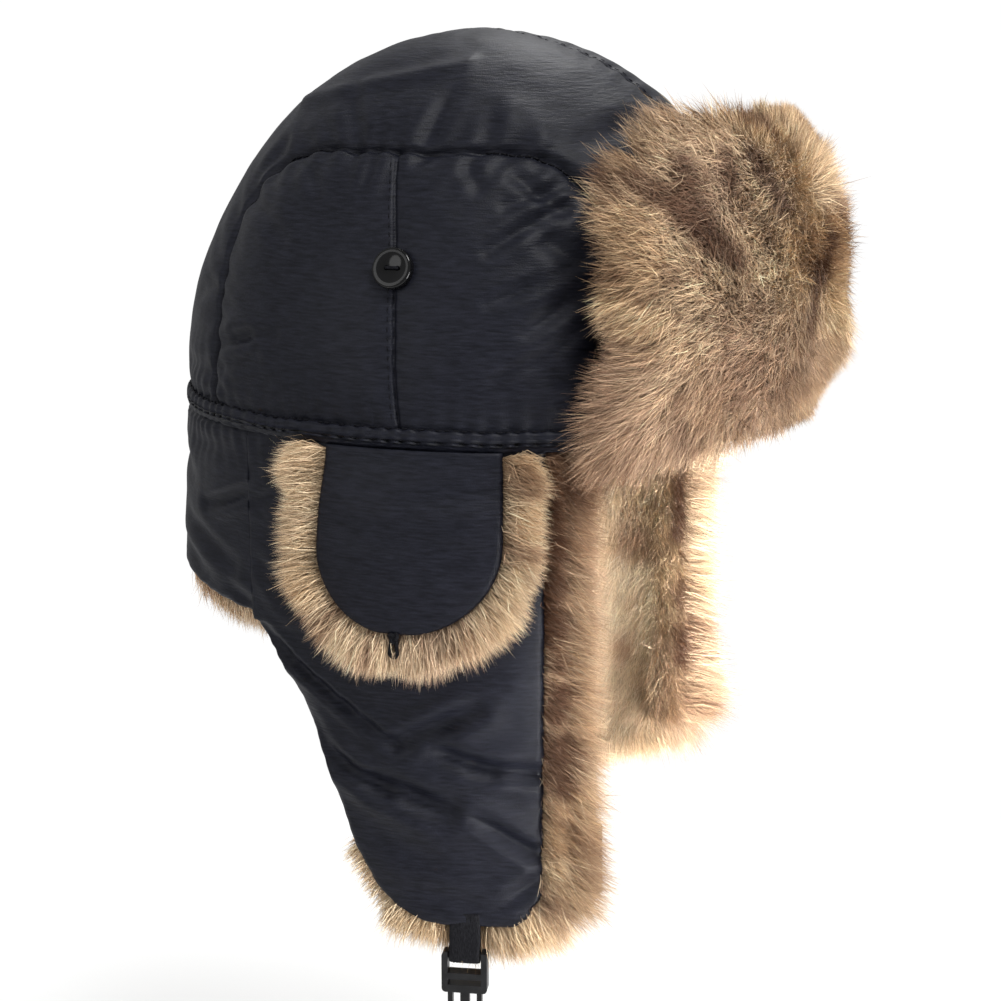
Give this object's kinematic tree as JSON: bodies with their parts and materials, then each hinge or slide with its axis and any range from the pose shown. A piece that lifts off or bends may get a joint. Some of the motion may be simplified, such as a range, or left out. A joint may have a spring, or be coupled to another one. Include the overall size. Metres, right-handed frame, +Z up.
{
  "type": "trapper hat",
  "caption": "Trapper hat with a quilted nylon crown, turned-up faux-fur visor, fur-lined ear flaps with lifting ear covers, and a side-release chin strap.",
  "frame": {"origin": "centre of the head opening, in the plane of the crown's hem", "axes": "+Z up through the crown, -Y towards the visor, -X towards the wearer's right ear"},
  "size_m": [0.2016, 0.2369, 0.3474],
  "materials": {
    "nylon": "fine crosswise rib, slight sheen",
    "faux_fur": "long tan pile with brown tips",
    "wadding": "soft polyester batting",
    "lining_satin": "quilted satin",
    "thread": "twisted polyester thread",
    "button_gloss": "polished black",
    "webbing": "woven webbing",
    "buckle_plastic": "satin moulded acetal",
    "elastic_cord": "braided elastic cord",
    "stiffener": "plain flexible sheet"
  },
  "bodies": {
    "crown": {"right_side_panel_front": "nylon", "right_side_panel_rear": "nylon", "left_side_panel_front": "nylon", "left_side_panel_rear": "nylon", "right_crown_panel": "nylon", "left_crown_panel": "nylon", "right_side_panel_front_wadding": "wadding", "right_side_panel_rear_wadding": "wadding", "left_side_panel_front_wadding": "wadding", "left_side_panel_rear_wadding": "wadding", "right_crown_panel_wadding": "wadding", "left_crown_panel_wadding": "wadding", "hem_band": "nylon", "crown_lining": "lining_satin", "right_button": "button_gloss", "left_button": "button_gloss", "right_button_thread": "thread", "left_button_thread": "thread", "nape_shell": "nylon", "nape_wadding": "wadding", "nape_fur": "faux_fur"},
    "visor": {"visor_shell": "nylon", "visor_stiffener": "stiffener", "visor_fur": "faux_fur"},
    "right_ear_flap": {"right_ear_flap_shell": "nylon", "right_ear_flap_wadding": "wadding", "right_ear_flap_fur": "faux_fur"},
    "right_ear_cover": {"right_ear_cover_shell": "nylon", "right_ear_cover_fur": "faux_fur", "right_ear_cover_loop": "elastic_cord"},
    "right_strap": {"right_strap_webbing": "webbing"},
    "left_ear_flap": {"left_ear_flap_shell": "nylon", "left_ear_flap_wadding": "wadding", "left_ear_flap_fur": "faux_fur"},
    "left_ear_cover": {"left_ear_cover_shell": "nylon", "left_ear_cover_fur": "faux_fur", "left_ear_cover_loop": "elastic_cord"},
    "left_strap": {"left_strap_webbing": "webbing"},
    "male_buckle": {"male_buckle": "buckle_plastic"},
    "female_buckle": {"female_buckle": "buckle_plastic"},
    "buckle_front_arm": {"buckle_front_arm": "buckle_plastic"},
    "buckle_rear_arm": {"buckle_rear_arm": "buckle_plastic"}
  },
  "joints": [
    {"name": "visor_fold", "type": "hinge", "parent": "crown", "child": "visor", "pos_m": [0, -0.097, 0.0005], "axis": [1, 0, 0], "range_deg": [0, 110]},
    {"name": "right_ear_flap_fold", "type": "hinge", "parent": "crown", "child": "right_ear_flap", "pos_m": [-0.098, 0, 0], "axis": [0, -1, 0], "range_deg": [-165, 0]},
    {"name": "left_ear_flap_fold", "type": "hinge", "parent": "crown", "child": "left_ear_flap", "pos_m": [0.098, 0, 0], "axis": [0, 1, 0], "range_deg": [-165, 0]},
    {"name": "right_ear_cover_lift", "type": "hinge", "parent": "right_ear_flap", "child": "right_ear_cover", "pos_m": [-0.1005, 0, -0.0015], "axis": [0, 1, 0], "range_deg": [0, 185]},
    {"name": "left_ear_cover_lift", "type": "hinge", "parent": "left_ear_flap", "child": "left_ear_cover", "pos_m": [0.1005, 0, -0.0015], "axis": [0, -1, 0], "range_deg": [0, 185]},
    {"name": "right_strap_swing", "type": "hinge", "parent": "right_ear_flap", "child": "right_strap", "pos_m": [-0.08723, -0.028, -0.1615], "axis": [-0.2356, 0.9718, 0], "range_deg": [-45, 45]},
    {"name": "left_strap_swing", "type": "hinge", "parent": "left_ear_flap", "child": "left_strap", "pos_m": [0.09031, -0.007, -0.1615], "axis": [-0.0584, -0.9983, 0], "range_deg": [-45, 45]},
    {"name": "male_buckle_swing", "type": "hinge", "parent": "right_strap", "child": "male_buckle", "pos_m": [-0.08723, -0.028, -0.1681], "axis": [-0.2356, 0.9718, 0], "range_deg": [-60, 60]},
    {"name": "female_buckle_swing", "type": "hinge", "parent": "left_strap", "child": "female_buckle", "pos_m": [0.09031, -0.007, -0.1931], "axis": [-0.0584, -0.9983, 0], "range_deg": [-60, 60]},
    {"name": "buckle_front_arm_squeeze", "type": "hinge", "parent": "male_buckle", "child": "buckle_front_arm", "pos_m": [-0.0861, -0.03266, -0.1807], "axis": [0.9718, 0.2356, 0], "range_deg": [0, 8], "stiffness_Nm_per_rad": 0.03},
    {"name": "buckle_rear_arm_squeeze", "type": "hinge", "parent": "male_buckle", "child": "buckle_rear_arm", "pos_m": [-0.08836, -0.02334, -0.1807], "axis": [0.9718, 0.2356, 0], "range_deg": [-8, 0], "stiffness_Nm_per_rad": 0.03}
  ],
  "couplings": [
    {"joint": "buckle_rear_arm_squeeze", "follows": "buckle_front_arm_squeeze", "ratio": -1}
  ]
}
